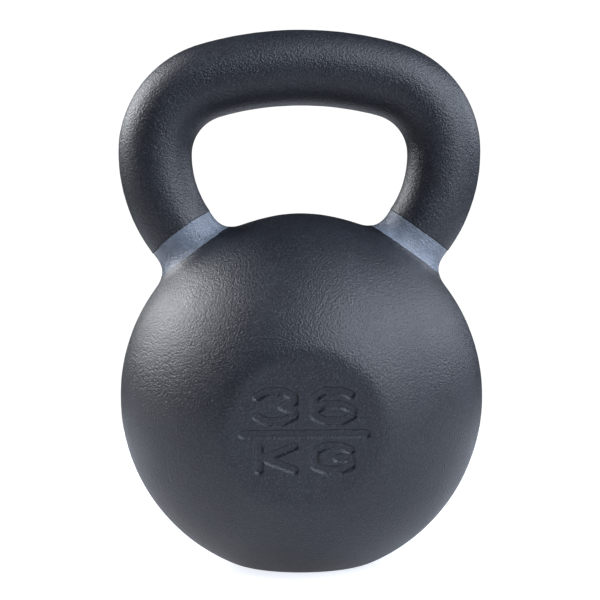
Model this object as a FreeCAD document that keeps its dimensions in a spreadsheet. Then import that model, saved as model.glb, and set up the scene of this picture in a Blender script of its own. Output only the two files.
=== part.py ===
import FreeCAD, Part
import math
import os
import re

import Sketcher
from FreeCAD import Placement, Rotation, Vector

# A cast-iron kettlebell: one casting, its textured coat in two pieces and a
# painted colour ring round the root of each handle leg.
#
# Frame, in mm: the origin is the centre of the flat foot, +Z points up and
# the front disc with the weight mark faces -Y.  The handle lies in the XZ
# plane.  Everything above the foot is laid out from the ball's centre.

os.makedirs("parts", exist_ok=True)
doc = FreeCAD.newDocument("Kettlebell")

# ---------------------------------------------------------------- sizes

SIZES = [
    # the ball and the ground flat that it stands on
    ("ball_radius", 103.6),
    ("foot_radius", 31.0),
    ("foot_rim_radius", 28.0),
    # the handle's centre line: straight leg, leg arc, corner arc, top arc
    ("leg_angle", 35.9),
    ("leg_sunk", 25.0),
    ("leg_straight", 12.6),
    ("leg_arc_radius", 76.1),
    ("corner_arc_radius", 43.3),
    ("top_arc_radius", 188.5),
    # the round handle bar, a little thicker in the middle of the grip
    ("grip_radius", 21.5),
    ("root_radius", 19.6),
    ("neck_fillet_radius", 12.0),
    # the flat disc on the front and the blank one on the back
    ("disc_radius", 40.1),
    ("disc_rim_radius", 15.0),
    ("disc_tilt", 6.5),
    # the sunk mark on the front disc, measured along the strokes' middles
    ("stroke_width", 4.2),
    ("mark_depth", 1.2),
    ("number_width", 20.0),
    ("number_height", 16.2),
    ("number_pitch", 31.0),
    ("number_rise", 13.9),
    ("unit_width", 19.0),
    ("unit_height", 13.0),
    ("unit_pitch", 30.0),
    ("unit_rise", -14.4),
    ("rule_width", 66.0),
    ("rule_height", 0.0),
    ("rule_pitch", 0.0),
    ("rule_rise", -1.2),
    # the coat, the thinner paint of the colour rings and the rings' place
    ("coat_thickness", 0.4),
    ("paint_thickness", 0.2),
    ("band_start", 0.5),
    ("band_width", 13.0),
    # length that only has to be larger than what it cuts
    ("cut_reach", 30.0),
]

sheet = doc.addObject("Spreadsheet::Sheet", "Sizes")
for row, (alias, value) in enumerate(SIZES, start=1):
    sheet.set(f"A{row}", alias)
    sheet.set(f"B{row}", str(value))
    sheet.setAlias(f"B{row}", alias)
doc.recompute()


def size(alias):
    """The value in mm, or degrees, of a named cell of the sheet."""
    return float(sheet.get(alias))


def bind(item, prop, formula):
    """Ties a property to a formula; its two_part words are the sheet's names."""
    item.setExpression(prop, re.sub(r"[a-z]+(_[a-z]+)+", r"Sizes.\g<0>", formula))


def constrain(sketch, formula, *args):
    """Adds a dimension to a sketch and ties it to a formula."""
    index = sketch.addConstraint(Sketcher.Constraint(*args))
    bind(sketch, f"Constraints[{index}]", formula)


def seat_distance(radius, rim, flat):
    """From a ball's centre to a flat whose rim is rounded into the ball."""
    return rim + math.sqrt((radius - rim) ** 2 - flat ** 2)


BALL_CENTRE = Vector(
    0, 0, seat_distance(size("ball_radius"), size("foot_rim_radius"), size("foot_radius"))
)
DISC_DISTANCE = seat_distance(size("ball_radius"), size("disc_rim_radius"), size("disc_radius"))


def leg_frame(side):
    """A frame at the ball's centre with its Z along one leg of the handle."""
    return Placement(BALL_CENTRE, Rotation(Vector(0, 1, 0), side * size("leg_angle")))


def disc_frame(side, inset):
    """A frame in a disc's flat: X right and Y up as seen, Z out of the ball."""
    turn = Rotation(Vector(0, 0, 1), 0 if side < 0 else 180)
    tip = Rotation(Vector(1, 0, 0), 90 + size("disc_tilt"))
    out = Placement(Vector(0, 0, DISC_DISTANCE - inset), Rotation())
    return Placement(BALL_CENTRE, turn * tip) * out


# ------------------------------------------------------- ball and handle


def plane_sketch(body, name, role):
    """An empty sketch on one of a body's own origin planes."""
    sketch = body.newObject("Sketcher::SketchObject", name)
    plane = next(f for f in body.Origin.OriginFeatures if f.Role == role)
    sketch.AttachmentSupport = (plane, "")
    sketch.MapMode = "FlatFace"
    return sketch


def add_ball(body, inset, inset_value):
    """Revolves the ball with its rounded rim and flat foot.

    An inset ball keeps its foot on the ground, so below the rim its iron
    comes down through the coat as a short cylinder.
    """
    ball = size("ball_radius") - inset_value
    rim = size("foot_rim_radius") - inset_value
    rim_centre = Vector(size("foot_radius"), size("foot_rim_radius"), 0)
    height = Vector(0, BALL_CENTRE.z, 0)
    lean = math.atan2(rim_centre.y - height.y, rim_centre.x)

    sketch = plane_sketch(body, body.Name + "_ball_profile", "XZ_Plane")
    axis = Vector(0, 0, 1)
    pole = height + Vector(0, ball, 0)
    low = rim_centre - Vector(0, rim, 0)
    ball_arc = sketch.addGeometry(
        Part.ArcOfCircle(Part.Circle(height, axis, ball), lean, math.pi / 2), False
    )
    rim_arc = sketch.addGeometry(
        Part.ArcOfCircle(Part.Circle(rim_centre, axis, rim), -math.pi / 2, lean), False
    )
    outline = [low, Vector(0, 0, 0), pole]
    if inset_value > 0:
        outline.insert(1, Vector(low.x, 0, 0))
    lines = [
        sketch.addGeometry(Part.LineSegment(a, b), False) for a, b in zip(outline, outline[1:])
    ]
    for first, second in zip(lines, lines[1:]):
        sketch.addConstraint(Sketcher.Constraint("Coincident", first, 2, second, 1))
    sketch.addConstraint(Sketcher.Constraint("Tangent", ball_arc, 1, rim_arc, 2))
    sketch.addConstraint(Sketcher.Constraint("Coincident", rim_arc, 1, lines[0], 1))
    sketch.addConstraint(Sketcher.Constraint("Coincident", ball_arc, 2, lines[-1], 2))
    sketch.addConstraint(Sketcher.Constraint("PointOnObject", ball_arc, 3, -2))
    sketch.addConstraint(Sketcher.Constraint("PointOnObject", ball_arc, 2, -2))
    sketch.addConstraint(Sketcher.Constraint("Coincident", lines[-1], 1, -1, 1))
    sketch.addConstraint(Sketcher.Constraint("Vertical", rim_arc, 1, rim_arc, 3))
    if inset_value > 0:
        sketch.addConstraint(Sketcher.Constraint("Vertical", lines[0]))
        sketch.addConstraint(Sketcher.Constraint("Horizontal", lines[1]))
    constrain(sketch, f"ball_radius - {inset}", "Radius", ball_arc, ball)
    constrain(sketch, f"foot_rim_radius - {inset}", "Radius", rim_arc, rim)
    constrain(sketch, "foot_radius", "DistanceX", -1, 1, rim_arc, 3, rim_centre.x)
    constrain(sketch, "foot_rim_radius", "DistanceY", -1, 1, rim_arc, 3, rim_centre.y)

    ball_solid = body.newObject("PartDesign::Revolution", body.Name + "_ball")
    ball_solid.Profile = sketch
    ball_solid.ReferenceAxis = (sketch, ["V_Axis"])
    ball_solid.Angle = 360.0
    sketch.Visibility = False


def handle_points():
    """Points and centres of the right half of the handle's centre line."""
    lean = math.radians(size("leg_angle"))
    leg_arc = size("leg_arc_radius")
    corner = size("corner_arc_radius")
    top = size("top_arc_radius")
    along = Vector(math.sin(lean), math.cos(lean), 0)
    centre = Vector(0, BALL_CENTRE.z, 0)
    start = centre + along * (size("ball_radius") - size("leg_sunk"))
    knee = centre + along * (size("ball_radius") + size("leg_straight"))
    leg_centre = knee - Vector(math.cos(lean), -math.sin(lean), 0) * leg_arc
    side = leg_centre + Vector(leg_arc, 0, 0)
    corner_centre = side - Vector(corner, 0, 0)
    drop = math.sqrt((top - corner) ** 2 - corner_centre.x ** 2)
    top_centre = Vector(0, corner_centre.y - drop, 0)
    shoulder_angle = math.atan2(drop, corner_centre.x)
    return {
        "lean": lean,
        "start": start,
        "knee": knee,
        "leg_centre": leg_centre,
        "corner_centre": corner_centre,
        "top_centre": top_centre,
        "shoulder_angle": shoulder_angle,
    }


def add_handle_path(body):
    """The handle's centre line in the XZ plane, tangent all along."""
    at = handle_points()
    lean = at["lean"]
    shoulder = at["shoulder_angle"]
    axis = Vector(0, 0, 1)
    sketch = plane_sketch(body, body.Name + "_handle_path", "XZ_Plane")

    def mirror(point):
        return Vector(-point.x, point.y, 0)

    def arc(centre, radius, low, high):
        circle = Part.Circle(centre, axis, radius)
        return sketch.addGeometry(Part.ArcOfCircle(circle, low, high), False)

    leg_arc = size("leg_arc_radius")
    corner = size("corner_arc_radius")
    right_line = sketch.addGeometry(Part.LineSegment(at["start"], at["knee"]), False)
    right_leg = arc(at["leg_centre"], leg_arc, -lean, 0)
    right_corner = arc(at["corner_centre"], corner, 0, shoulder)
    top = arc(at["top_centre"], size("top_arc_radius"), shoulder, math.pi - shoulder)
    left_corner = arc(mirror(at["corner_centre"]), corner, math.pi - shoulder, math.pi)
    left_leg = arc(mirror(at["leg_centre"]), leg_arc, math.pi, math.pi + lean)
    left_line = sketch.addGeometry(
        Part.LineSegment(mirror(at["knee"]), mirror(at["start"])), False
    )

    chain = [right_leg, right_corner, top, left_corner, left_leg]
    for first, second in zip(chain, chain[1:]):
        sketch.addConstraint(Sketcher.Constraint("Tangent", first, 2, second, 1))
    sketch.addConstraint(Sketcher.Constraint("Tangent", right_line, 2, right_leg, 1))
    sketch.addConstraint(Sketcher.Constraint("Tangent", left_leg, 2, left_line, 1))
    for leg_item, corner_item in ((right_leg, right_corner), (left_leg, left_corner)):
        sketch.addConstraint(Sketcher.Constraint("Horizontal", leg_item, 3, corner_item, 3))
    for item in (right_leg, left_leg):
        constrain(sketch, "leg_arc_radius", "Radius", item, leg_arc)
    for item in (right_corner, left_corner):
        constrain(sketch, "corner_arc_radius", "Radius", item, corner)
    constrain(sketch, "top_arc_radius", "Radius", top, size("top_arc_radius"))

    # The two ends of each straight leg, from the origin under the ball.
    height = "(foot_rim_radius + sqrt((ball_radius - foot_rim_radius)^2 - foot_radius^2))"
    ends = (
        (right_line, 1, "(ball_radius - leg_sunk)", 1),
        (right_line, 2, "(ball_radius + leg_straight)", 1),
        (left_line, 2, "(ball_radius - leg_sunk)", -1),
        (left_line, 1, "(ball_radius + leg_straight)", -1),
    )
    for line, end, reach, side in ends:
        point = sketch.getPoint(line, end)
        across = f"{reach} * sin(leg_angle * 1 deg)"
        upward = f"{height} + {reach} * cos(leg_angle * 1 deg)"
        if side > 0:
            constrain(sketch, across, "DistanceX", -1, 1, line, end, point.x)
        else:
            constrain(sketch, across, "DistanceX", line, end, -1, 1, -point.x)
        constrain(sketch, upward, "DistanceY", -1, 1, line, end, point.y)
    sketch.Visibility = False
    return sketch


def ring_sketch(body, name, path, edge, place, formula, radius):
    """A circle square to the handle's path, at a share of one of its edges."""
    sketch = body.newObject("Sketcher::SketchObject", name)
    sketch.AttachmentSupport = [(path, f"Edge{edge}")]
    sketch.MapMode = "NormalToEdge"
    sketch.MapPathParameter = place
    circle = Part.Circle(Vector(0, 0, 0), Vector(0, 0, 1), radius)
    index = sketch.addGeometry(circle, False)
    sketch.addConstraint(Sketcher.Constraint("Coincident", index, 3, -1, 1))
    constrain(sketch, formula, "Radius", index, radius)
    sketch.Visibility = False
    return sketch


def add_handle(body, inset, inset_value):
    """Sweeps the round bar along the path, thickest at the grip's middle."""
    path = add_handle_path(body)
    doc.recompute()
    root = size("root_radius") - inset_value
    grip = size("grip_radius") - inset_value
    first = ring_sketch(
        body, body.Name + "_right_root", path, 1, 0.0, f"root_radius - {inset}", root
    )
    middle = ring_sketch(
        body, body.Name + "_grip", path, 4, 0.5, f"grip_radius - {inset}", grip
    )
    last = ring_sketch(
        body, body.Name + "_left_root", path, 7, 1.0, f"root_radius - {inset}", root
    )
    doc.recompute()
    handle = body.newObject("PartDesign::AdditivePipe", body.Name + "_handle")
    handle.Profile = first
    handle.Spine = path
    handle.SpineTangent = False
    handle.Mode = "Frenet"
    handle.Transformation = "Multisection"
    handle.Sections = [middle, last]
    doc.recompute()


def neck_edges(shape, ball):
    """Names of the edges where the handle's legs enter the ball."""
    names = []
    for number, edge in enumerate(shape.Edges, start=1):
        middle = edge.valueAt((edge.FirstParameter + edge.LastParameter) / 2)
        on_ball = abs(middle.distanceToPoint(BALL_CENTRE) - ball) < 0.01
        legs = [leg_frame(side).inverse().multVec(middle) for side in (-1, 1)]
        near_leg = any(
            p.z > 0 and math.hypot(p.x, p.y) < size("root_radius") + 1 for p in legs
        )
        if on_ball and near_leg and edge.Length > size("root_radius") / 4:
            names.append(f"Edge{number}")
    return names


def add_neck_fillets(body, inset, inset_value):
    """Rounds the hollow corner between each leg and the ball."""
    handle = body.Tip
    fillet = body.newObject("PartDesign::Fillet", body.Name + "_necks")
    fillet.Base = (handle, neck_edges(handle.Shape, size("ball_radius") - inset_value))
    bind(fillet, "Radius", f"neck_fillet_radius + {inset}")


def form(name, inset, inset_value):
    """The whole outside, ball and handle, sunk by an inset all over."""
    body = doc.addObject("PartDesign::Body", name)
    add_ball(body, inset, inset_value)
    add_handle(body, inset, inset_value)
    add_neck_fillets(body, inset, inset_value)
    doc.recompute()
    return body


# ------------------------------------------------------------ the discs


def cut(name, base, tool):
    """One solid less another."""
    result = doc.addObject("Part::Cut", name)
    result.Base = base
    result.Tool = tool
    return result


def rim_edges(shape, sides, distance):
    """Numbers of the round edges of the disc flats at a given distance."""
    numbers = []
    for number, edge in enumerate(shape.Edges, start=1):
        middle = edge.valueAt((edge.FirstParameter + edge.LastParameter) / 2)
        for side in sides:
            local = disc_frame(side, 0).inverse().multVec(middle)
            wide = math.hypot(local.x, local.y) > size("disc_radius")
            if abs(local.z + DISC_DISTANCE - distance) < 0.01 and wide:
                numbers.append(number)
    return numbers


def add_discs(body, inset, inset_value):
    """Cuts the front and back flats and rounds their rims into the ball."""
    shaped = body
    for side, word in ((-1, "front"), (1, "back")):
        tool = doc.addObject("Part::Cylinder", f"{body.Name}_{word}_cutter")
        bind(tool, "Radius", "disc_radius + cut_reach")
        bind(tool, "Height", "cut_reach")
        tool.Placement = disc_frame(side, inset_value)
        shaped = cut(f"{body.Name}_{word}_flat", shaped, tool)
    doc.recompute()
    rounded = doc.addObject("Part::Fillet", f"{body.Name}_disc_rims")
    rounded.Base = shaped
    radius = size("disc_rim_radius") - inset_value
    edges = rim_edges(shaped.Shape, (-1, 1), DISC_DISTANCE - inset_value)
    rounded.Edges = [(number, radius, radius) for number in edges]
    doc.recompute()
    return rounded


# ------------------------------------------------------- the sunk mark

# Strokes of each sign, in halves of its width and height from its middle.
STROKES = {
    "three": [
        [(-1, 0.65), (-0.45, 1), (0.45, 1), (1, 0.65), (1, 0.3), (0.4, 0),
         (1, -0.3), (1, -0.65), (0.45, -1), (-0.45, -1), (-1, -0.65)],
    ],
    "six": [
        [(0.9, 0.75), (0.45, 1), (-0.45, 1), (-1, 0.65), (-1, -0.65), (-0.45, -1),
         (0.45, -1), (1, -0.65), (1, -0.25), (0.45, 0.1)],
        [(0.45, 0.1), (-0.45, 0.1), (-1, -0.25)],
    ],
    "letter_k": [
        [(-1, 1), (-1, -1)],
        [(1, 1), (-0.7, 0), (1, -1)],
    ],
    "letter_g": [
        [(1, 0.65), (0.45, 1), (-0.45, 1), (-1, 0.65), (-1, -0.65), (-0.45, -1),
         (0.45, -1), (1, -0.65), (1, 0), (0.25, 0)],
    ],
    "rule": [
        [(-1, 0), (1, 0)],
    ],
}

# Each sign's place: its row of sizes in the sheet and its share of the pitch.
SIGNS = [
    ("three", "number", -0.5),
    ("six", "number", 0.5),
    ("rule", "rule", 0),
    ("letter_k", "unit", -0.5),
    ("letter_g", "unit", 0.5),
]


def stroke_spot(row, column, u, v):
    """A stroke's point in the disc's frame, in mm."""
    across = column * size(f"{row}_pitch") + u * size(f"{row}_width") / 2
    return Vector(across, size(f"{row}_rise") + v * size(f"{row}_height") / 2, 0)


def bent_groove(name, points, row, column, frame, inset):
    """The solid of a bent stroke: its middle line widened, then sunk."""
    line = doc.addObject("Sketcher::SketchObject", name)
    line.Placement = frame
    spots = [stroke_spot(row, column, u, v) for u, v in points]
    parts = [
        line.addGeometry(Part.LineSegment(a, b), False) for a, b in zip(spots, spots[1:])
    ]
    for first, second in zip(parts, parts[1:]):
        line.addConstraint(Sketcher.Constraint("Coincident", first, 2, second, 1))
    ends = [(parts[0], 1)] + [(part, 2) for part in parts]
    for (part, end), (u, v), spot in zip(ends, points, spots):
        across = f"{column} * {row}_pitch + {u} * {row}_width / 2"
        upward = f"{row}_rise + {v} * {row}_height / 2"
        constrain(line, across, "DistanceX", -1, 1, part, end, spot.x)
        constrain(line, upward, "DistanceY", -1, 1, part, end, spot.y)
    line.Visibility = False
    doc.recompute()
    wide = doc.addObject("Part::Offset2D", name + "_outline")
    wide.Source = line
    wide.Mode = "Pipe"
    wide.Join = "Arc"
    wide.Fill = True
    bind(wide, "Value", f"stroke_width / 2 + {inset}")
    deep = doc.addObject("Part::Extrusion", name + "_groove")
    deep.Base = wide
    deep.DirMode = "Custom"
    deep.Dir = frame.Rotation.multVec(Vector(0, 0, -1))
    deep.Solid = True
    bind(deep, "LengthFwd", "mark_depth")
    bind(deep, "LengthRev", "mark_depth")
    return [deep]


def straight_groove(name, points, row, column, frame, inset):
    """The solids of a straight stroke: a block with a round post at each end."""
    start, end = (stroke_spot(row, column, u, v) for u, v in points)
    along = end - start
    turn = Rotation(Vector(1, 0, 0), along)
    floor = Vector(0, 0, -size("mark_depth"))
    block = doc.addObject("Part::Box", name + "_block")
    bind(block, "Length", f"{row}_width" if along.x else f"{row}_height")
    bind(block, "Width", f"stroke_width + 2 * {inset}")
    bind(block, "Height", "2 * mark_depth")
    doc.recompute()
    half = Placement(Vector(0, -block.Width.Value / 2, 0), Rotation())
    block.Placement = frame * Placement(start + floor, turn) * half
    posts = []
    for number, spot in enumerate((start, end), start=1):
        post = doc.addObject("Part::Cylinder", f"{name}_post_{number}")
        bind(post, "Radius", f"stroke_width / 2 + {inset}")
        bind(post, "Height", "2 * mark_depth")
        post.Placement = frame * Placement(spot + floor, Rotation())
        posts.append(post)
    return [block] + posts


def sink_mark(owner, shaped, inset, inset_value):
    """Cuts the number, the rule and the unit into the front disc."""
    frame = disc_frame(-1, inset_value)
    tools = []
    for sign, row, column in SIGNS:
        for turn, points in enumerate(STROKES[sign], start=1):
            groove = bent_groove if len(points) > 2 else straight_groove
            name = f"{owner}_{sign}_{turn}"
            tools += groove(name, points, row, column, frame, inset)
    doc.recompute()
    marks = doc.addObject("Part::MultiFuse", f"{owner}_mark")
    marks.Shapes = tools
    return cut(f"{owner}_marked", shaped, marks)


def full_form(name, inset, inset_value):
    """The outside with its discs and its sunk mark."""
    body = form(name, inset, inset_value)
    shaped = add_discs(body, inset, inset_value)
    return sink_mark(name, shaped, inset, inset_value)


# ------------------------------------------- casting, coat and colour rings


def beyond(name, distance):
    """All the space past a plane square to each leg, out from the ball."""
    halves = []
    for side, word in ((-1, "left"), (1, "right")):
        block = doc.addObject("Part::Box", f"{name}_{word}")
        for prop in ("Length", "Width", "Height"):
            bind(block, prop, "4 * ball_radius")
        half = 2 * size("ball_radius")
        block.Placement = leg_frame(side) * Placement(
            Vector(-half, -half, distance), Rotation()
        )
        halves.append(block)
    both = doc.addObject("Part::MultiFuse", name)
    both.Shapes = halves
    return both


def make_casting():
    """The iron: one casting of ball, handle, foot, discs and sunk mark."""
    casting = full_form("core", "coat_thickness", size("coat_thickness"))
    casting.Label = "casting"
    return casting


def make_coats(casting):
    """The textured coat: one skin on the ball, one on the handle."""
    outside = full_form("skin", "0", 0.0)
    shell = cut("shell", outside, casting)
    start = size("ball_radius") - size("band_start")
    low = beyond("past_band_start", start)
    high = beyond("past_band_end", start + size("band_width"))
    ball_coat = cut("ball_coat", shell, low)
    handle_coat = doc.addObject("Part::MultiCommon", "handle_coat")
    handle_coat.Shapes = [shell, high]
    return [ball_coat, handle_coat]


def make_bands(casting):
    """A ring of paint on the bare iron between the two coats, on each leg."""
    inset = "(coat_thickness - paint_thickness)"
    painted = form("paint", inset, size("coat_thickness") - size("paint_thickness"))
    film = cut("paint_film", painted, casting)
    bands = []
    for side, word in ((-1, "left"), (1, "right")):
        slice_tool = doc.addObject("Part::Cylinder", f"band_slice_{word}")
        bind(slice_tool, "Radius", "root_radius + neck_fillet_radius")
        bind(slice_tool, "Height", "band_width")
        start = Vector(0, 0, size("ball_radius") - size("band_start"))
        slice_tool.Placement = leg_frame(side) * Placement(start, Rotation())
        band = doc.addObject("Part::MultiCommon", f"colour_band_{word}")
        band.Shapes = [film, slice_tool]
        bands.append(band)
    return bands


def check_and_write(nodes):
    """Stops on any failed object, then writes one file for each piece."""
    doc.recompute()
    for item in doc.Objects:
        failed = {"Invalid", "Error"} & set(item.State)
        if failed:
            raise RuntimeError(f"{item.Name} failed: {item.State}")
    for node in nodes:
        shape = node.Shape
        if shape.isNull() or not shape.isValid() or len(shape.Solids) != 1:
            raise RuntimeError(f"{node.Label} is not one valid solid")
        shape.exportStep(f"parts/{node.Label}.step")
        print(f"{node.Label}: {shape.Volume / 1000:.1f} cm3, box {shape.BoundBox}")


casting = make_casting()
check_and_write([casting] + make_coats(casting) + make_bands(casting))
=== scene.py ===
import math

import bpy
from mathutils import Matrix, Vector, noise


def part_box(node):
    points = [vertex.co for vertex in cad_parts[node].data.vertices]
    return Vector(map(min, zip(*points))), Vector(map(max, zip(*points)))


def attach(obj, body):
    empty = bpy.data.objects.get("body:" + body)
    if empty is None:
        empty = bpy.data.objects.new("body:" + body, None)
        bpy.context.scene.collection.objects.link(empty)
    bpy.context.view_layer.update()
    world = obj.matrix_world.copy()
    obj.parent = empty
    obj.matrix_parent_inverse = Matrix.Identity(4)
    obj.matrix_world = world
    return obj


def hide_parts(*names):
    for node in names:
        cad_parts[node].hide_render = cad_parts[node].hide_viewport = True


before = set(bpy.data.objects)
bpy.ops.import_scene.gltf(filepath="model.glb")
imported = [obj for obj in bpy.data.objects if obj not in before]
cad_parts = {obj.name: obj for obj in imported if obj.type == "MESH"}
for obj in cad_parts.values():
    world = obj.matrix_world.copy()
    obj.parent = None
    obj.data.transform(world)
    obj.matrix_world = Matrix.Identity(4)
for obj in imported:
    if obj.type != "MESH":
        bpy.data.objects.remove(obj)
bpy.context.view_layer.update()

mm = 0.001

# ---------------------------------------------------------------- casting
# The kettlebell itself: grey iron poured into sand in one go, ball and handle
# together. It shows only at the foot, where the coat is ground off and the
# bare iron stands on the floor with fine grinding marks.

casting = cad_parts["casting"]
ball_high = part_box("ball_coat")[1]
ball_radius = ball_high.x
ball_centre = Vector((0, 0, ball_high.z - ball_radius))


def linear(hex_colour):
    """An sRGB hex colour as the linear RGBA that a shader takes."""
    channels = [int(hex_colour[i:i + 2], 16) / 255 for i in (1, 3, 5)]
    curve = [
        c / 12.92 if c <= 0.04045 else ((c + 0.055) / 1.055) ** 2.4
        for c in channels
    ]
    return (*curve, 1.0)


def add_node(tree, kind, links=None, values=None, **settings):
    """Adds one node with its settings, socket values and incoming links."""
    made = tree.nodes.new(kind)
    for name, setting in settings.items():
        setattr(made, name, setting)
    for socket, value in (values or {}).items():
        made.inputs[socket].default_value = value
    for socket, source in (links or {}).items():
        tree.links.new(source, made.inputs[socket])
    return made


def new_material(name):
    """A material without nodes but its Object coordinates, which it gives too."""
    material = bpy.data.materials.new(name)
    material.use_nodes = True
    tree = material.node_tree
    tree.nodes.clear()
    place = add_node(tree, "ShaderNodeTexCoord").outputs["Object"]
    return material, tree, place


def ramp_colours(made, stops):
    """Sets a colour ramp's stops: (place, linear colour) pairs."""
    ramp = made.color_ramp
    while len(ramp.elements) < len(stops):
        ramp.elements.new(0.5)
    for element, (spot, colour) in zip(ramp.elements, stops):
        element.position = spot
        element.color = colour


def ground_iron():
    """Bare grey iron, ground flat: fine scratches with dull rust-brown spots."""
    material, tree, place = new_material("ground grey iron")
    scratch_width = 0.5 * mm
    scratch_stretch = 0.06
    scratch_depth = 0.05 * mm
    stain_size = 9 * mm
    stretched = add_node(
        tree, "ShaderNodeMapping", {"Vector": place},
        {"Scale": (1.0, scratch_stretch, 1.0)},
    )
    scratches = add_node(
        tree, "ShaderNodeTexNoise", {"Vector": stretched.outputs[0]},
        {"Scale": 1 / scratch_width, "Detail": 4.0},
    )
    stains = add_node(
        tree, "ShaderNodeTexNoise", {"Vector": place},
        {"Scale": 1 / stain_size, "Detail": 5.0, "Roughness": 0.62},
    )
    colour = add_node(tree, "ShaderNodeValToRGB", {"Fac": stains.outputs["Fac"]})
    ramp_colours(colour, [
        (0.35, linear("#8b8c8e")), (0.6, linear("#6f6c68")), (0.72, linear("#5d4a3c")),
    ])
    worn = add_node(
        tree, "ShaderNodeMapRange", {"Value": scratches.outputs["Fac"]},
        {"To Min": 0.28, "To Max": 0.5},
    )
    relief = add_node(
        tree, "ShaderNodeBump", {"Height": scratches.outputs["Fac"]},
        {"Strength": 0.5, "Distance": scratch_depth},
    )
    shader = add_node(
        tree, "ShaderNodeBsdfPrincipled",
        {"Base Color": colour.outputs["Color"], "Roughness": worn.outputs[0],
         "Normal": relief.outputs["Normal"]},
        {"Metallic": 1.0},
    )
    add_node(tree, "ShaderNodeOutputMaterial", {"Surface": shader.outputs[0]})
    return material


casting.data.materials.clear()
casting.data.materials.append(ground_iron())

# --------------------------------------------------------- the coated shape
# The outside of the coated casting, from which the coat and the paint rings
# are cut: a sand-cast surface, soft at every corner and never quite true,
# with its mark cast in.

coat_grid = 1.8 * mm
corner_softening = 11
softening_loss = 0.18 * mm
crown_rise = 0.8 * mm
crown_reach = 36 * mm
sand_waviness = 0.07 * mm
sand_wave_length = 17 * mm
foot_height = 1 * mm
merge_gap = 0.001 * mm


def edit(obj):
    """Makes one object the only one selected and opens it in edit mode."""
    bpy.ops.object.select_all(action="DESELECT")
    obj.select_set(True)
    bpy.context.view_layer.objects.active = obj
    bpy.ops.object.mode_set(mode="EDIT")


def joined_copy(name, nodes):
    """One new object with copies of some frame nodes' meshes, merged."""
    bpy.ops.object.select_all(action="DESELECT")
    for node in nodes:
        copy = bpy.data.objects.new(name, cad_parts[node].data.copy())
        bpy.context.collection.objects.link(copy)
        copy.select_set(True)
        bpy.context.view_layer.objects.active = copy
    if len(nodes) > 1:
        bpy.ops.object.join()
    made = bpy.context.view_layer.objects.active
    edit(made)
    bpy.ops.mesh.select_all(action="SELECT")
    bpy.ops.mesh.remove_doubles(threshold=merge_gap)
    bpy.ops.object.mode_set(mode="OBJECT")
    return made


def apply_modifier(obj, kind, **settings):
    """Adds a modifier to an object, sets it and applies it."""
    bpy.context.view_layer.objects.active = obj
    modifier = obj.modifiers.new(kind, kind)
    for name, setting in settings.items():
        setattr(modifier, name, setting)
    bpy.ops.object.modifier_apply(modifier=modifier.name)


def select_vertices(obj, test):
    """Selects the vertices whose place passes a test and gives their numbers."""
    bpy.ops.object.mode_set(mode="OBJECT")
    chosen = [test(v.co) for v in obj.data.vertices]
    obj.data.polygons.foreach_set("select", [False] * len(obj.data.polygons))
    obj.data.edges.foreach_set("select", [False] * len(obj.data.edges))
    obj.data.vertices.foreach_set("select", chosen)
    return [i for i, inside in enumerate(chosen) if inside]


skin = joined_copy("coated_shape", list(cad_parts))
apply_modifier(skin, "REMESH", mode="VOXEL", voxel_size=coat_grid)
apply_modifier(skin, "SMOOTH", factor=0.5, iterations=corner_softening)
apply_modifier(skin, "DISPLACE", strength=softening_loss, mid_level=0.0)

# The crown between the handle's roots stands a little full, and the sand left
# the surface faintly wavy everywhere but under the flat foot.
crown = Vector((0, 0, ball_high.z))
skin_normals = [vertex.normal.copy() for vertex in skin.data.vertices]
for vertex, normal in zip(skin.data.vertices, skin_normals):
    near = max(0.0, 1 - (vertex.co - crown).length / crown_reach)
    vertex.co.z += crown_rise * near * near * (3 - 2 * near)
    if vertex.co.z > foot_height:
        wave = noise.noise(vertex.co / sand_wave_length)
        vertex.co += normal * sand_waviness * wave

# The front disc is ground into the pattern and carries the sunk mark, so it
# is meshed finer and laid on the frame's own surface, then softened a little
# as the sand and the coat soften every edge. Its plane cuts the ball at
# disc_cut_radius, before the rim is rounded; the mark lies within mark_reach.

disc_tilt = math.radians(6.5)
disc_out = Vector((0, -math.cos(disc_tilt), -math.sin(disc_tilt)))
disc_cut_radius = 43.5 * mm
disc_seat = (ball_radius ** 2 - disc_cut_radius ** 2) ** 0.5
below_mark = 3 * mm
mark_reach = 38.5 * mm
mark_cuts = 3
mark_soften = 3


def on_disc(point):
    """Whether a point lies on the part of the front disc that is flat."""
    local = point - ball_centre
    out = local.dot(disc_out)
    across = (local - disc_out * out).length
    return out > disc_seat - below_mark and across < mark_reach


front = joined_copy("front_surface", ["ball_coat"])
edit(front)
bpy.ops.mesh.select_mode(type="FACE")
bpy.ops.mesh.select_all(action="DESELECT")
bpy.ops.object.mode_set(mode="OBJECT")
for face in front.data.polygons:
    faces_out = face.normal.dot(disc_out) > 0.5
    height = (face.center - ball_centre).dot(disc_out)
    face.select = not (faces_out and height > disc_seat - below_mark)
bpy.ops.object.mode_set(mode="EDIT")
bpy.ops.mesh.delete(type="FACE")
bpy.ops.object.mode_set(mode="OBJECT")

edit(skin)
bpy.ops.mesh.select_mode(type="VERT")
select_vertices(skin, on_disc)
bpy.ops.object.mode_set(mode="EDIT")
bpy.ops.mesh.subdivide(number_cuts=mark_cuts)
mark_points = select_vertices(skin, on_disc)
skin.vertex_groups.new(name="mark").add(mark_points, 1.0, "REPLACE")
apply_modifier(
    skin, "SHRINKWRAP", target=front, wrap_method="PROJECT", vertex_group="mark",
    use_project_y=True, use_negative_direction=True, use_positive_direction=True,
    project_limit=4 * mm,
)
bpy.data.objects.remove(front)
bpy.context.view_layer.objects.active = skin
bpy.ops.object.mode_set(mode="EDIT")
bpy.ops.mesh.vertices_smooth(factor=0.5, repeat=mark_soften)
bpy.ops.object.mode_set(mode="OBJECT")

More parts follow.
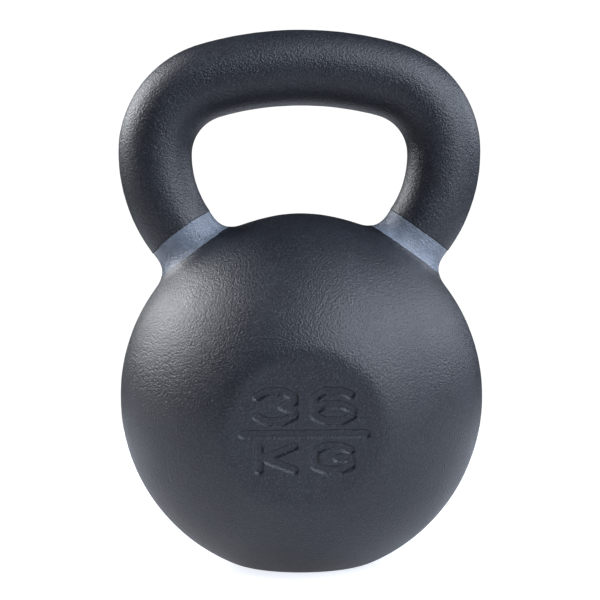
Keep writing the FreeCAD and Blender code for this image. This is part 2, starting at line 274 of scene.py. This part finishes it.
# -------------------------------------------------------------- ball coat
# Powder coat baked on the ball: matt black with a fine pebbled skin. It was
# masked off with tape at each handle root, so it ends there in a rounded,
# slightly raised edge that wanders as the tape did.

leg_lean = math.radians(35.9)
band_start = ball_radius - 0.5 * mm
band_width = 13 * mm
band_zone = 5 * mm
root_core = 15 * mm
root_reach = 36 * mm
leg_along = {
    "left": Vector((-math.sin(leg_lean), 0, math.cos(leg_lean))),
    "right": Vector((math.sin(leg_lean), 0, math.cos(leg_lean))),
}
leg_outward = {
    "left": Vector((-math.cos(leg_lean), 0, -math.sin(leg_lean))),
    "right": Vector((math.cos(leg_lean), 0, -math.sin(leg_lean))),
}


def near_band(point):
    """Whether a point is on a handle root, close to where its ring goes."""
    for along in leg_along.values():
        local = point - ball_centre
        height = local.dot(along)
        off_axis = (local - along * height).length
        if band_start - band_zone < height < band_start + band_width + band_zone:
            if off_axis < root_reach:
                return True
    return False


edit(skin)
bpy.ops.mesh.select_mode(type="VERT")
select_vertices(skin, near_band)
bpy.ops.object.mode_set(mode="EDIT")
bpy.ops.mesh.subdivide(number_cuts=1, smoothness=1.0)
bpy.ops.object.mode_set(mode="OBJECT")


def copy_of(source, name):
    """A copy of an object with a mesh of its own."""
    made = bpy.data.objects.new(name, source.data.copy())
    bpy.context.collection.objects.link(made)
    return made


def bisect(obj, point, normal, keep=None, fill=True):
    """Cuts an object by a plane; keeps both sides, or one and closes it."""
    edit(obj)
    bpy.ops.mesh.select_all(action="SELECT")
    bpy.ops.mesh.bisect(
        plane_co=point, plane_no=normal, use_fill=fill and keep is not None,
        clear_outer=keep == "below", clear_inner=keep == "above",
    )
    bpy.ops.object.mode_set(mode="OBJECT")


# The taped edges. Each rounds off over edge_round and is cut across at
# edge_steps of it. The tape wanders in long waves and tears in short ones, and
# at the left root's upper edge it bows up and is lapped, a step lower outside.
edge_round = 0.9 * mm
edge_steps = (0.12, 0.35, 0.62, 1.0, 1.8)
edge_drop = 0.55 * mm
edge_bead = 0.18 * mm
bead_reach = 4 * mm
tape_wander = 0.22 * mm
wander_waves = 1.7
tape_tear = 0.3 * mm
tear_waves = 11
tear_holds = 0.12
tape_bow = 1.1 * mm
lap_start = 0.66
lap_slope = 0.1
lap_step = 0.45 * mm


def tape_line(side, outward_share, way_round, level):
    """How far a taped edge strays along the leg, at one point round it."""
    spot = Vector((math.cos(way_round), math.sin(way_round), 0.37 * level))
    stray = tape_wander * noise.noise(spot * wander_waves + Vector((3.1, 0, level)))
    tear = noise.noise(spot * tear_waves + Vector((0, 7.3, level)))
    stray += tape_tear * max(0.0, tear - tear_holds)
    if side == "left" and level == 1:
        lap = min(1.0, max(0.0, (outward_share - lap_start) / lap_slope))
        stray += tape_bow * (1 - outward_share ** 2) - lap_step * lap
    return stray


def shape_edge(obj, side, level):
    """Rounds a coat's taped edge, raises its bead and makes it wander.

    Level 0 is the ring's lower edge, where the ball's coat ends, and level 1
    its upper edge. There taped_edge holds how near a point is to the edge, at
    level 1 only; the powder coat paints a near-black shadow line by it.
    """
    along, outward = leg_along[side], leg_outward[side]
    edge = band_start + level * band_width
    away = 1 if level == 1 else -1
    if "taped_edge" not in obj.data.attributes:
        obj.data.attributes.new("taped_edge", "FLOAT", "POINT")
    for step in edge_steps:
        bisect(obj, ball_centre + along * (edge + away * edge_round * step), along)
    taped_edge = obj.data.attributes["taped_edge"].data
    for vertex in obj.data.vertices:
        local = vertex.co - ball_centre
        height = local.dot(along)
        off_axis = local - along * height
        depth = away * (height - edge)
        if depth > bead_reach or not root_core <= off_axis.length <= root_reach:
            continue
        depth = max(0.0, depth)
        share = off_axis.dot(outward) / off_axis.length
        way_round = math.atan2(off_axis.y, off_axis.dot(outward))
        fade = 1 - depth / bead_reach
        bead = edge_bead * fade * fade
        short = max(0.0, 1 - depth / edge_round)
        drop = edge_drop * (1 - math.sqrt(max(0.0, 1 - short * short)))
        vertex.co += off_axis.normalized() * (bead - drop)
        taped_edge[vertex.index].value = level * short
        vertex.co += along * tape_line(side, share, way_round, level) * fade


ball = copy_of(skin, "ball_skin")
for side, along in leg_along.items():
    bisect(ball, ball_centre + along * band_start, along, "below")
    shape_edge(ball, side, 0)
foot_clearance = 0.3 * mm
bisect(ball, Vector((0, 0, foot_clearance)), Vector((0, 0, 1)), "above")


def powder_coat():
    """Black polyester powder coat, baked: dull, with an even fine pebble.

    A fine grey speckle keeps its dark side from going flat. Along the handle
    coat's taped edge it turns near-black and dead matt: a painted shadow line
    where the coat meets the ring.
    """
    material, tree, place = new_material("pebbled black powder coat")
    pebble_size = 1.1 * mm
    ripple_size = 0.7 * mm
    fleck_size = 0.9 * mm
    patch_size = 26 * mm
    pebble_height = 0.26 * mm
    pebbles = add_node(
        tree, "ShaderNodeTexVoronoi", {"Vector": place},
        {"Scale": 1 / pebble_size, "Smoothness": 1.0, "Randomness": 1.0},
        feature="SMOOTH_F1",
    )
    ripples = add_node(
        tree, "ShaderNodeTexNoise", {"Vector": place},
        {"Scale": 1 / ripple_size, "Detail": 3.0, "Roughness": 0.5},
    )
    patches = add_node(
        tree, "ShaderNodeTexNoise", {"Vector": place},
        {"Scale": 1 / patch_size, "Detail": 3.0},
    )
    flecks = add_node(
        tree, "ShaderNodeTexNoise", {"Vector": place},
        {"Scale": 1 / fleck_size, "Detail": 1.0},
    )
    height = add_node(
        tree, "ShaderNodeMath",
        {0: ripples.outputs["Fac"], 1: pebbles.outputs["Distance"]},
        operation="SUBTRACT",
    )
    relief = add_node(
        tree, "ShaderNodeBump", {"Height": height.outputs[0]},
        {"Strength": 1.0, "Distance": pebble_height},
    )
    mottle = add_node(tree, "ShaderNodeValToRGB", {"Fac": patches.outputs["Fac"]})
    ramp_colours(mottle, [(0.3, linear("#12151c")), (0.7, linear("#161a22"))])
    dust = add_node(
        tree, "ShaderNodeMapRange", {"Value": flecks.outputs["Fac"]},
        {"From Min": 0.5, "From Max": 0.75, "To Min": 0.0, "To Max": 0.26},
    )
    colour = add_node(
        tree, "ShaderNodeMix", {0: dust.outputs[0], 6: mottle.outputs["Color"]},
        {7: linear("#5d5f63")}, data_type="RGBA",
    )
    dulling = add_node(
        tree, "ShaderNodeMapRange", {"Value": patches.outputs["Fac"]},
        {"From Min": 0.3, "From Max": 0.7, "To Min": 0.39, "To Max": 0.45},
    )
    taped_edge = add_node(tree, "ShaderNodeAttribute", attribute_name="taped_edge")
    # Painted shadow line: near the handle coat's taped edge the coat goes near-black and
    # fully matt, standing in for the shade in the crease between coat and ring.
    shadow_line_weight = add_node(
        tree, "ShaderNodeMapRange", {"Value": taped_edge.outputs["Fac"]},
        {"From Min": 0.15, "From Max": 0.5},
    )
    painted_shadow_line = add_node(
        tree, "ShaderNodeMix", {0: shadow_line_weight.outputs[0], 6: colour.outputs[2]},
        {7: linear("#050506")}, data_type="RGBA",
    )
    dead_matt = add_node(
        tree, "ShaderNodeMix", {"Factor": shadow_line_weight.outputs[0], "A": dulling.outputs[0]},
        {"B": 1.0},
    )
    shader = add_node(
        tree, "ShaderNodeBsdfPrincipled",
        {"Base Color": painted_shadow_line.outputs[2], "Roughness": dead_matt.outputs[0],
         "Normal": relief.outputs["Normal"]},
        {"IOR": 1.5},
    )
    add_node(tree, "ShaderNodeOutputMaterial", {"Surface": shader.outputs[0]})
    return material


smooth_up_to = math.radians(50)


def finish_piece(obj, material, node):
    """Gives a piece its material, smooth faces and body, and hides the frame node it
    stands in for.
    """
    bpy.ops.object.select_all(action="DESELECT")
    obj.select_set(True)
    bpy.context.view_layer.objects.active = obj
    bpy.ops.object.shade_smooth_by_angle(angle=smooth_up_to)
    obj.data.materials.clear()
    obj.data.materials.append(material)
    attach(obj, "root")
    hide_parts(node)


coat = powder_coat()
finish_piece(ball, coat, "ball_coat")

# ------------------------------------------------------------ handle coat
# The same powder coat on the grip and its legs, one sleeve from one ring's
# upper edge to the other's.

seam_gap = 0.01 * mm
halves = []
for side, along in leg_along.items():
    sideways = Vector((along.x, 0, 0)).normalized()
    half = copy_of(skin, f"handle_half_{side}")
    bisect(half, Vector((0, 0, 0)), sideways, "above", fill=False)
    bisect(half, ball_centre + along * (band_start + band_width), along, "above")
    shape_edge(half, side, 1)
    halves.append(half)
bpy.ops.object.select_all(action="DESELECT")
for half in halves:
    half.select_set(True)
bpy.context.view_layer.objects.active = halves[0]
bpy.ops.object.join()
handle = bpy.context.view_layer.objects.active
handle.name = "handle_skin"
edit(handle)
bpy.ops.mesh.select_all(action="SELECT")
bpy.ops.mesh.remove_doubles(threshold=seam_gap)
bpy.ops.object.mode_set(mode="OBJECT")
finish_piece(handle, coat, "handle_coat")

# ----------------------------------------------------------- colour rings
# Blue-grey enamel brushed round each handle root between two lines of tape,
# straight on the cast surface. It lies lower than the coat beside it and runs
# on under it by ring_tuck, and brush marks run round the leg.

ring_sink = 0.06 * mm
ring_tuck = 1.6 * mm


def ring_paint(side):
    """Satin enamel over a cast skin: brush marks, bright flecks and nicks."""
    material, tree, place = new_material(f"blue-grey satin enamel, {side}")
    lean = leg_lean if side == "right" else -leg_lean
    grain_size = 1.0 * mm
    brush_width = 0.7 * mm
    brush_stretch = 0.3
    nick_spacing = 6 * mm
    nick_stretch = 0.45
    tone_size = 9 * mm
    relief_height = 0.45 * mm
    standing = add_node(
        tree, "ShaderNodeVectorRotate", {"Vector": place}, {"Angle": -lean},
        rotation_type="Y_AXIS",
    )
    brushed = add_node(
        tree, "ShaderNodeMapping", {"Vector": standing.outputs[0]},
        {"Scale": (brush_stretch, brush_stretch, 1.0)},
    )
    marks = add_node(
        tree, "ShaderNodeTexNoise", {"Vector": brushed.outputs[0]},
        {"Scale": 1 / brush_width, "Detail": 3.0, "Roughness": 0.6},
    )
    grain = add_node(
        tree, "ShaderNodeTexNoise", {"Vector": place},
        {"Scale": 1 / grain_size, "Detail": 3.0, "Roughness": 0.6},
    )
    tones = add_node(
        tree, "ShaderNodeTexNoise", {"Vector": place},
        {"Scale": 1 / tone_size, "Detail": 3.0},
    )
    height = add_node(
        tree, "ShaderNodeMath", {0: grain.outputs["Fac"], 1: marks.outputs["Fac"]},
        operation="ADD",
    )
    relief = add_node(
        tree, "ShaderNodeBump", {"Height": height.outputs[0]},
        {"Strength": 1.0, "Distance": relief_height},
    )
    mixed = add_node(
        tree, "ShaderNodeMix", {"A": tones.outputs["Fac"], "B": marks.outputs["Fac"]},
        {"Factor": 0.4},
    )
    colour = add_node(tree, "ShaderNodeValToRGB", {"Fac": mixed.outputs[0]})
    ramp_colours(colour, [
        (0.32, linear("#5c646e")), (0.52, linear("#6b737f")), (0.68, linear("#818994")),
    ])
    long_nicks = add_node(
        tree, "ShaderNodeMapping", {"Vector": standing.outputs[0]},
        {"Scale": (1.0, 1.0, nick_stretch)},
    )
    nicks = add_node(
        tree, "ShaderNodeTexVoronoi", {"Vector": long_nicks.outputs[0]},
        {"Scale": 1 / nick_spacing, "Randomness": 1.0},
    )
    chipped = add_node(
        tree, "ShaderNodeMapRange", {"Value": nicks.outputs["Distance"]},
        {"From Min": 0.06, "From Max": 0.1, "To Min": 0.75, "To Max": 0.0},
    )
    painted = add_node(
        tree, "ShaderNodeMix", {0: chipped.outputs[0], 6: colour.outputs["Color"]},
        {7: linear("#2f343c")}, data_type="RGBA",
    )
    dulling = add_node(
        tree, "ShaderNodeMapRange", {"Value": grain.outputs["Fac"]},
        {"From Min": 0.3, "From Max": 0.7, "To Min": 0.14, "To Max": 0.26},
    )
    shader = add_node(
        tree, "ShaderNodeBsdfPrincipled",
        {"Base Color": painted.outputs[2], "Roughness": dulling.outputs[0],
         "Normal": relief.outputs["Normal"]},
        {"IOR": 1.5},
    )
    add_node(tree, "ShaderNodeOutputMaterial", {"Surface": shader.outputs[0]})
    return material


for side, along in leg_along.items():
    sideways = Vector((along.x, 0, 0)).normalized()
    ring = copy_of(skin, f"colour_ring_{side}")
    bisect(ring, Vector((0, 0, 0)), sideways, "above")
    low = ball_centre + along * (band_start - ring_tuck)
    high = ball_centre + along * (band_start + band_width + ring_tuck)
    bisect(ring, low, along, "above")
    bisect(ring, high, along, "below")
    apply_modifier(ring, "DISPLACE", strength=-ring_sink, mid_level=0.0)
    finish_piece(ring, ring_paint(side), f"colour_band_{side}")

bpy.data.objects.remove(skin)

# ----------------------------------------------------------------- studio
# A white light table in a dim room, with a long soft box behind on the left
# for the rim and a row of them on the right, from the front round to the side.
# Table and room look white, but give the piece only a little light.


def soft_box(name, turn, rise, wide, tall, power, tint, away=2.0):
    """A rectangular area light: its bearing and height angle in degrees, its
    size and distance in metres, its power in watts."""
    turn, rise = math.radians(turn), math.radians(rise)
    toward = Vector((
        math.sin(turn) * math.cos(rise), -math.cos(turn) * math.cos(rise), math.sin(rise)
    ))
    light = bpy.data.lights.new(name, "AREA")
    light.shape = "RECTANGLE"
    light.size = wide
    light.size_y = tall
    light.energy = power
    light.color = tint[:3]
    lamp = bpy.data.objects.new(name, light)
    lamp.location = ball_centre + toward * away
    lamp.rotation_euler = toward.to_track_quat("Z", "Y").to_euler()
    lamp.visible_camera = False
    bpy.context.collection.objects.link(lamp)


neutral = linear("#f3f6fb")
cool = linear("#e4ecfb")
soft_box("left_back_box", -112, 26, 1.7, 0.7, 50, neutral)
soft_box("left_high_box", -100, 45, 0.9, 0.6, 14, neutral)
soft_box("right_front_box", 35, 30, 0.7, 0.7, 19, cool)
soft_box("right_low_box", 55, 10, 0.6, 0.6, 11, cool)
soft_box("right_tall_box", 75, 41, 0.65, 1.25, 26, cool)
soft_box("top_front_box", 26, 50, 1.1, 0.6, 16, cool)
soft_box("right_side_box", 112, 22, 1.7, 0.9, 19, cool)
soft_box("overhead_box", 90, 75, 0.6, 0.6, 3, cool)

bpy.ops.object.select_all(action="DESELECT")
table_radius = 0.7
bpy.ops.mesh.primitive_circle_add(
    vertices=96, radius=table_radius, fill_type="NGON", location=(0, 0, 0)
)
floor = bpy.context.object
floor.name = "floor"
material, tree, _ = new_material("white light table")
seen = add_node(tree, "ShaderNodeLightPath").outputs["Is Camera Ray"]
glow = add_node(
    tree, "ShaderNodeMapRange", {"Value": seen}, {"To Min": 0.4, "To Max": 0.9}
)
shader = add_node(
    tree, "ShaderNodeBsdfPrincipled", {"Emission Strength": glow.outputs[0]},
    {"Base Color": linear("#aeb0b4"), "Roughness": 0.9,
     "Emission Color": linear("#f4f7ff")},
)
add_node(tree, "ShaderNodeOutputMaterial", {"Surface": shader.outputs[0]})
floor.data.materials.append(material)

world = bpy.data.worlds.new("white room")
world.use_nodes = True
tree = world.node_tree
seen = add_node(tree, "ShaderNodeLightPath").outputs["Is Camera Ray"]
strength = add_node(
    tree, "ShaderNodeMapRange", {"Value": seen}, {"To Min": 0.02, "To Max": 1.05}
)
tree.links.new(strength.outputs[0], tree.nodes["Background"].inputs["Strength"])
tree.nodes["Background"].inputs["Color"].default_value = linear("#ffffff")
bpy.context.scene.world = world
bpy.context.scene.view_settings.view_transform = "Standard"

# ----------------------------------------------------------------- camera
# A little above the handle's roots, 1.2 m away, with a long lens.

camera_distance = 1.2
camera_rise = math.radians(3.0)
camera_turn = math.radians(-0.9)
camera_roll = math.radians(-0.43)
camera_aim = Vector((-0.0004, 0, 0.1516))

camera_data = bpy.data.cameras.new("camera")
camera_data.sensor_width = 36
camera_data.lens = 125.4
camera = bpy.data.objects.new("camera", camera_data)
back = Vector((
    math.sin(camera_turn) * math.cos(camera_rise),
    -math.cos(camera_turn) * math.cos(camera_rise),
    math.sin(camera_rise),
))
camera.location = camera_aim + back * camera_distance
upright = (-back).to_track_quat("-Z", "Y").to_matrix()
camera.rotation_euler = (upright @ Matrix.Rotation(camera_roll, 3, "Z")).to_euler()
bpy.context.collection.objects.link(camera)
bpy.context.scene.camera = camera
